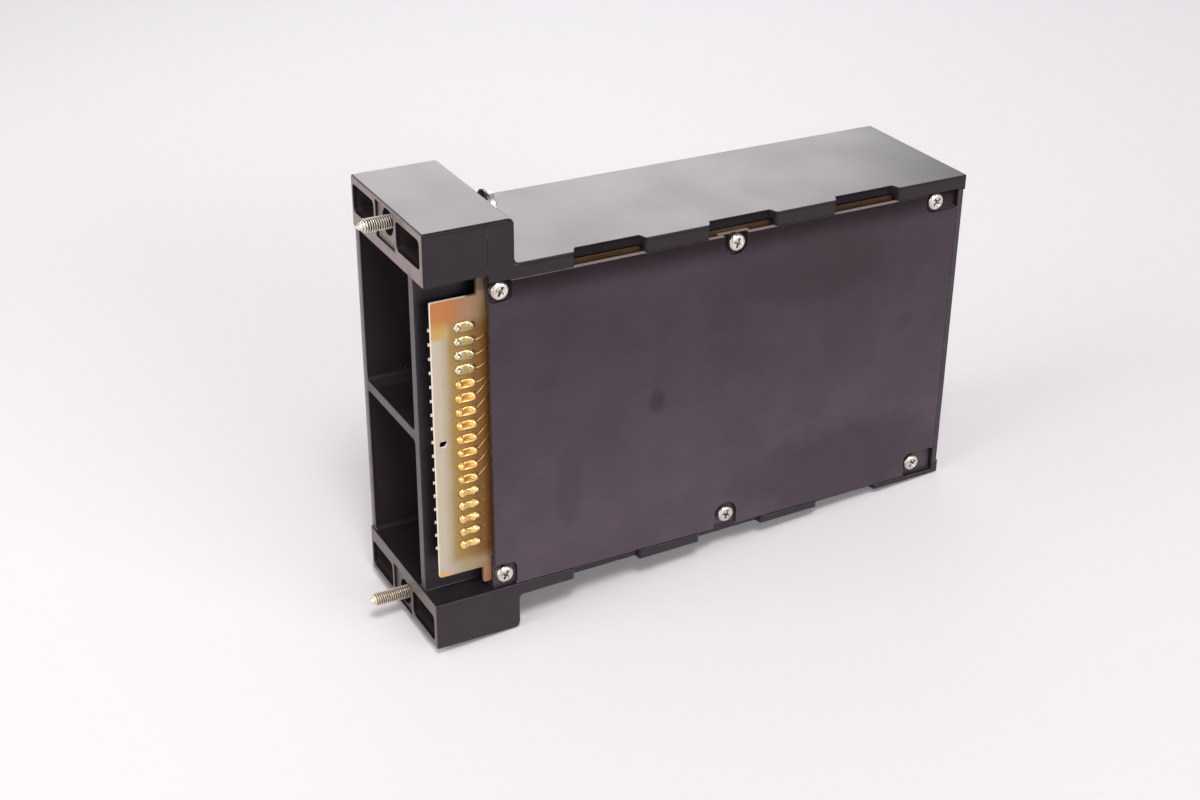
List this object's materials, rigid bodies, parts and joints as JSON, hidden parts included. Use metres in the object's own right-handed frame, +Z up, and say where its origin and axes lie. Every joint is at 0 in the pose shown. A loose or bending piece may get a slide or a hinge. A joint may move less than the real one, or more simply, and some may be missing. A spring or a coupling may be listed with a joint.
{
  "type": "plc module",
  "caption": "Flat rack module with a deep rear mounting block and captive screw at each end, a bare edge connector between them and a flush side cover held by cross-recess screws.",
  "frame": {"origin": "on the rear mounting plane, midway between the two mounting screws", "axes": "+X from the mounting plane to the front panel, +Z up along the line from the lower screw to the upper screw, -Y out of the side cover"},
  "size_m": [0.2234, 0.0609, 0.154],
  "materials": {
    "housing_plastic": "fine moulded texture, faded to a lighter grey on top",
    "cover_plastic": "smooth satin with light handling marks",
    "panel_plastic": "fine moulded texture",
    "lens_plastic": "smooth tinted",
    "zinc_steel": "bright plated",
    "washer_steel": "dull plated",
    "insert_brass": "machined",
    "board_laminate": "coated laminate, dark amber",
    "small_board_laminate": "laminate",
    "contact_metal": "tin plated",
    "solder": "bright solder",
    "connector_plastic": "smooth",
    "sink_aluminium": "satin",
    "package_epoxy": "fine moulded",
    "triac_body": "fine moulded, with a metal tab",
    "capacitor_sleeve": "shrunk sleeve",
    "film_case": "smooth case",
    "resistor_coat": "fired coat",
    "varistor_coat": "dipped coat",
    "fuse_glass": "clear"
  },
  "bodies": {
    "module": {"housing": "housing_plastic", "side_cover": "cover_plastic", "cover_screws": "zinc_steel", "threaded_inserts": "insert_brass", "front_panel": "panel_plastic", "indicator_lens": "lens_plastic", "main_board": "board_laminate", "connector_contacts": "contact_metal", "contact_solder_joints": "solder", "connector_housing": "connector_plastic", "heat_sink": "sink_aluminium", "heat_sink_rivets": "sink_aluminium", "triacs": "triac_body", "triac_screws": "zinc_steel", "optocouplers": "package_epoxy", "logic_chips": "package_epoxy", "filter_capacitors": "capacitor_sleeve", "gate_resistors": "resistor_coat", "snubber_capacitors": "film_case", "power_resistors": "resistor_coat", "varistors": "varistor_coat", "fuse_clips": "contact_metal", "fuse_caps": "contact_metal", "fuse_tubes": "fuse_glass", "indicator_board": "small_board_laminate", "indicator_leds": "lens_plastic", "indicator_resistors": "package_epoxy", "link_pins": "contact_metal"},
    "top_washer": {"top_lock_washer": "washer_steel"},
    "top_screw": {"top_captive_screw": "zinc_steel", "top_retaining_ring": "washer_steel"},
    "bottom_washer": {"bottom_lock_washer": "washer_steel"},
    "bottom_screw": {"bottom_captive_screw": "zinc_steel", "bottom_retaining_ring": "washer_steel"}
  },
  "joints": [
    {"name": "top_screw_travel", "type": "slide", "parent": "module", "child": "top_washer", "axis": [1, 0, 0], "range_m": [-0.0027, 0.0065]},
    {"name": "top_screw_turn", "type": "hinge", "parent": "top_washer", "child": "top_screw", "pos_m": [0, 0, 0.0706], "axis": [1, 0, 0], "continuous": true},
    {"name": "bottom_screw_travel", "type": "slide", "parent": "module", "child": "bottom_washer", "axis": [1, 0, 0], "range_m": [0, 0.0092]},
    {"name": "bottom_screw_turn", "type": "hinge", "parent": "bottom_washer", "child": "bottom_screw", "pos_m": [0, 0, -0.0706], "axis": [1, 0, 0], "continuous": true}
  ]
}
